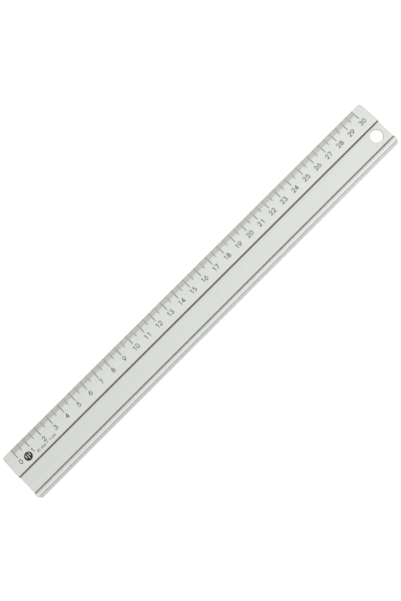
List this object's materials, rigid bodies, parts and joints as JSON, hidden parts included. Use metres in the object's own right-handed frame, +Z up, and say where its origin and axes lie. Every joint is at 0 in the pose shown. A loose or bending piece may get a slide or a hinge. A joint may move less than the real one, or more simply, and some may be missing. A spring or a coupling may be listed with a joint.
{
  "type": "aluminium ruler with steel cutting edge",
  "caption": "Low metal ruler with a bevelled facet for the centimetre scale, a finger channel with a hanging hole, a rounded rib and an inlaid steel cutting edge.",
  "frame": {"origin": "on the table, under the middle of the ruler: bottom centre of the bounding box", "axes": "+X along the scale from 0 to 30, +Y towards the thin scale edge, +Z up out of the printed face"},
  "size_m": [0.315, 0.035, 0.004],
  "materials": {
    "satin_aluminium": "satin, natural anodised, with faint lengthwise extrusion lines",
    "ground_steel": "ground lengthwise, bare steel",
    "grip_rubber": "matt soft rubber",
    "scale_print": "thin dark grey printed ink, matt"
  },
  "bodies": {
    "root": {"aluminium_profile": "satin_aluminium", "steel_cutting_edge": "ground_steel", "grip_strip_scale_side": "grip_rubber", "grip_strip_steel_side": "grip_rubber"}
  },
  "joints": []
}
